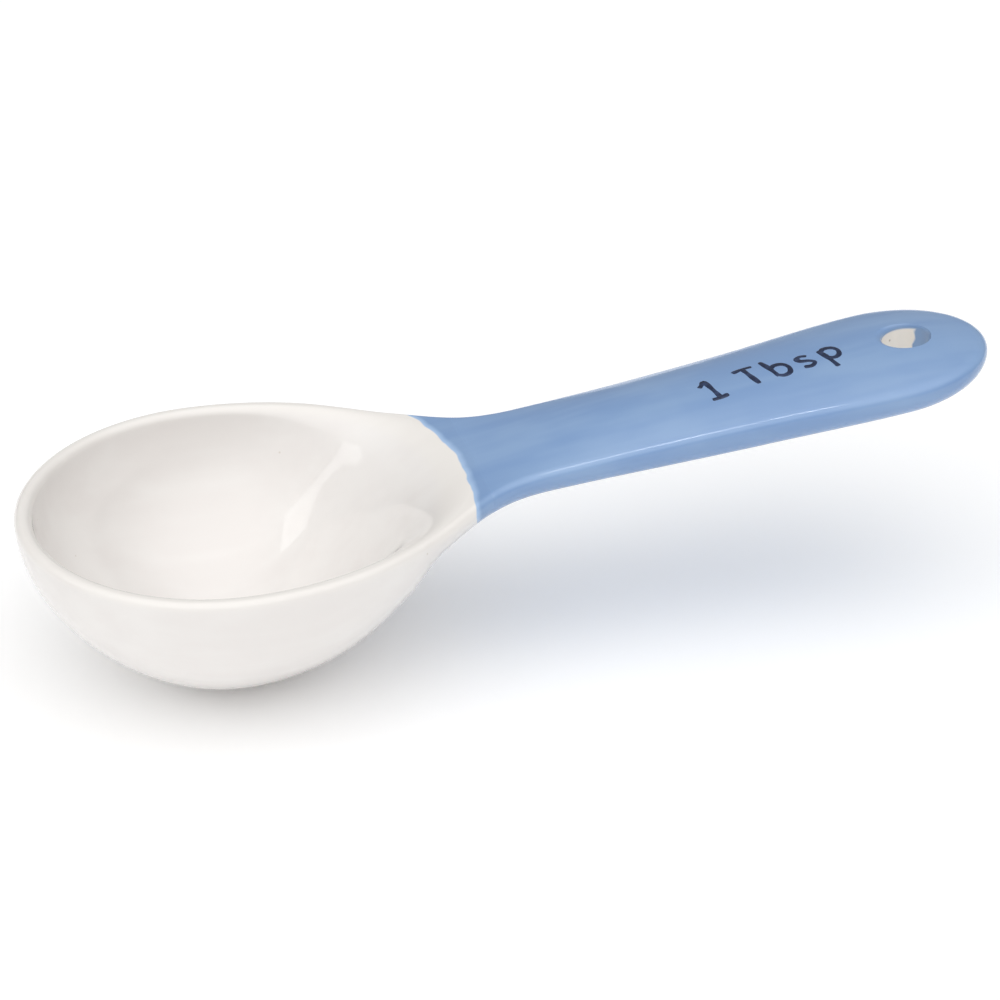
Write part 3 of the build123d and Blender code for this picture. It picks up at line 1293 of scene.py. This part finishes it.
@dataclass
class SpoonFinishes:
    """The visible pieces of the spoon, each with the finish that it left the kiln with."""

    line: GlazeLine = GlazeLine()
    white: Glaze = Glaze("eeebe8", "eae6e3", "f0ece6", "d0c7ba")
    blue: Glaze = Glaze("89a6cc", "7c9bc6", "a9c4e6", "6a88bd")
    bare: BareClay = BareClay()
    # The photograph shows the hole's wall as a pale cream. Here the foot's clay is painted far paler in the
    # hole, as painted light that lifts the shade deep inside it. The foot, which it hides, is a usual buff.
    throat_clay_painted_light: BareClay = BareClay("bare_stoneware_throat_painted_light", "fbf6ee", "f3eadc")

    def dress(self, form: SpoonForm) -> bpy.types.Object:
        """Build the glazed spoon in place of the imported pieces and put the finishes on.

        Args:
            form: The spoon's shape.

        Returns:
            The handle's coat, which carries the mark.
        """
        pieces = form.build()
        coats = {
            "bowl_coat": ("white_gloss_glaze", Surface.GLASSY),
            "handle_coat": ("blue_gloss_glaze", Surface.SETTLED),
        }
        for piece, (name, surface) in coats.items():
            coat = GlazedCoat(name, self.white, self.blue, self.line, surface, form.rim_height)
            self.assign(pieces[piece], coat.material())
        middle, upward = form.hole_axis()
        depth = form.sizes_at(form.handle_reach)[1]
        throat = Throat(middle, upward, form.hole_lip - depth, form.crown - form.hole_lip)
        # The hole's wall takes the paler copy of the clay. Its colour is painted light against the shade in
        # the hole.
        self.assign(pieces["cast_clay"], self.throat_clay_painted_light.material(throat, self.blue))
        self.assign(pieces["bare_foot"], self.bare.material())
        stand_ins = {
            "bowl_coat": "white_bowl_glaze",
            "handle_coat": "blue_handle_glaze",
            "cast_clay": "clay_body",
            "bare_foot": "clay_body",
        }
        for piece, node in stand_ins.items():
            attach(pieces[piece], BODY)
            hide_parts(node)
        return pieces["handle_coat"]

    @staticmethod
    def assign(piece: bpy.types.Object, material: bpy.types.Material) -> None:
        """Give a piece its material.

        Args:
            piece: The piece.
            material: Its only material.
        """
        piece.data.materials.clear()
        piece.data.materials.append(material)
        LOG.info("%s has the finish %s", piece.name, material.name)


@dataclass(frozen=True)
class Softbox:
    """Rectangular studio light. Its tilt turns it about the line to what it points at."""

    name: str
    place_mm: tuple[float, float, float]
    aim_mm: tuple[float, float, float]
    size_mm: tuple[float, float]
    watts: float
    tilt_degrees: float = 0.0

    def build(self) -> bpy.types.Object:
        """Add the light.

        Returns:
            The new light.
        """
        data = bpy.data.lights.new(self.name, "AREA")
        data.shape = "RECTANGLE"
        data.size, data.size_y = self.size_mm[0] * MM, self.size_mm[1] * MM
        data.energy = self.watts
        made = new_object(self.name, data)
        place = Vector(self.place_mm) * MM
        made.location = place
        aimed = (Vector(self.aim_mm) * MM - place).to_track_quat("-Z", "Y").to_matrix()
        made.rotation_euler = (aimed @ Matrix.Rotation(math.radians(self.tilt_degrees), 3, "Z")).to_euler()
        return made


@dataclass(frozen=True)
class Glow:
    """Soft bright patch of the sky: the way to its middle, the cosine at its edge and its strength."""

    toward: tuple[float, float, float]
    edge_cosine: float
    strength: float


@dataclass
class Studio:
    """Pale floor, soft lights and the camera."""

    azimuth: float = -15.621
    elevation: float = 29.838
    roll: float = -0.273
    distance_mm: float = 277.871
    aim_right_mm: float = 29.767
    aim_up_mm: float = 0.437
    aim_height_mm: float = 19.8
    lens_widths: float = 2.6
    near_clip_mm: float = 10.0
    floor_half_mm: float = 900.0
    floor_colour: str = "ffffff"
    floor_roughness: float = 0.9
    floor_glow: float = 0.06
    sky_strength: float = 0.27
    overhead: Glow = Glow((-0.08, -0.34, 0.92), 0.35, 1.44)
    front: Glow = Glow((-0.6, -0.7, 0.2), 0.2, 0.08)
    window: Softbox = Softbox("window_box", (-544, 104, 375), (10, 10, 11), (170, 150), 0.125, -20.0)
    side: Softbox = Softbox("side_box", (-900, -350, 700), (20, 0, 10), (900, 900), 0.3)
    glint: Softbox = Softbox("glint_box", (87, -80, 500), (46, -7, 24), (22, 60), 0.06)

    def axes(self) -> tuple[Vector, Vector, Vector]:
        """Work out how the camera stands.

        Returns:
            Its right, up and back directions.
        """
        turn = math.radians(self.azimuth)
        lift = math.radians(self.elevation)
        lean = math.radians(self.roll)
        back = Vector((math.sin(turn) * math.cos(lift), -math.cos(turn) * math.cos(lift), math.sin(lift)))
        level = Vector((math.cos(turn), math.sin(turn), 0.0))
        upright = back.cross(level)
        right = level * math.cos(lean) + upright * math.sin(lean)
        return right, back.cross(right), back

    def camera(self) -> bpy.types.Object:
        """Add the camera at the photograph's angle.

        Returns:
            The camera.
        """
        right, upward, back = self.axes()
        data = bpy.data.cameras.new("camera")
        data.lens = self.lens_widths * data.sensor_width
        data.clip_start = self.near_clip_mm * MM
        made = new_object("camera", data)
        offset = right * self.aim_right_mm + upward * self.aim_up_mm + back * self.distance_mm
        place = (Vector((0.0, 0.0, self.aim_height_mm)) + offset) * MM
        made.matrix_world = Matrix.Translation(place) @ Matrix((right, upward, back)).transposed().to_4x4()
        bpy.context.scene.camera = made
        return made

    def floor(self) -> bpy.types.Object:
        """Add the pale floor of matt paper, lit a little from below like a light table.

        Returns:
            The floor.
        """
        half = self.floor_half_mm * MM
        mesh = bpy.data.meshes.new("floor")
        corners = [(-half, -half, 0), (half, -half, 0), (half, half, 0), (-half, half, 0)]
        mesh.from_pydata(corners, [], [(0, 1, 2, 3)])
        made = new_object("floor", mesh)
        material, _, shader = new_material("floor_paper")
        shader.inputs["Base Color"].default_value = linear(self.floor_colour)
        shader.inputs["Roughness"].default_value = self.floor_roughness
        shader.inputs["Emission Strength"].default_value = self.floor_glow
        mesh.materials.append(material)
        return made

    def sky(self) -> bpy.types.World:
        """Add the soft all-round light, which is brighter overhead and in front on the left.

        Returns:
            The world.
        """
        world = bpy.data.worlds.new("studio")
        world.use_nodes = True
        tree = world.node_tree
        way = add_node(tree, "ShaderNodeTexCoord").outputs["Generated"]
        strength = None
        for glow in (self.overhead, self.front):
            facing = add_node(
                tree, "ShaderNodeVectorMath", {"operation": "DOT_PRODUCT"},
                {1: tuple(Vector(glow.toward).normalized())}, {0: way},
            ).outputs["Value"]
            lit = add_node(
                tree, "ShaderNodeMapRange", SOFT_STEP,
                {"From Min": glow.edge_cosine, "From Max": 1.0, "To Max": glow.strength}, {"Value": facing},
            ).outputs["Result"]
            links = {0: lit} if strength is None else {0: lit, 1: strength}
            strength = add_node(
                tree, "ShaderNodeMath", {"operation": "ADD"}, {1: self.sky_strength}, links
            ).outputs[0]
        background = tree.nodes["Background"]
        background.inputs["Color"].default_value = linear("ffffff")
        tree.links.new(strength, background.inputs["Strength"])
        return world

    def build(self, handle: bpy.types.Object) -> None:
        """Set up the floor, lights, world and camera.

        Args:
            handle: The handle's coat, which alone takes the small light that glints on its crease.
        """
        self.floor()
        self.window.build()
        self.side.build()
        lit = bpy.data.collections.new("lit_by_glint_box")
        lit.objects.link(handle)
        self.glint.build().light_linking.receiver_collection = lit
        bpy.context.scene.world = self.sky()
        bpy.context.scene.view_settings.view_transform = "Standard"
        self.camera()
        LOG.info("set up the studio")


def main() -> None:
    """Build the scene in order."""
    logging.basicConfig(level=logging.INFO)
    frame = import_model()
    LOG.info("the frame holds %s", ", ".join(frame["nodes"]))
    handle = SpoonFinishes().dress(SpoonForm())
    for piece in CapacityMark(CeramicInk()).build(handle):
        LOG.info("wrote %s", piece.name)
    Studio().build(handle)


if __name__ == "__main__":
    main()
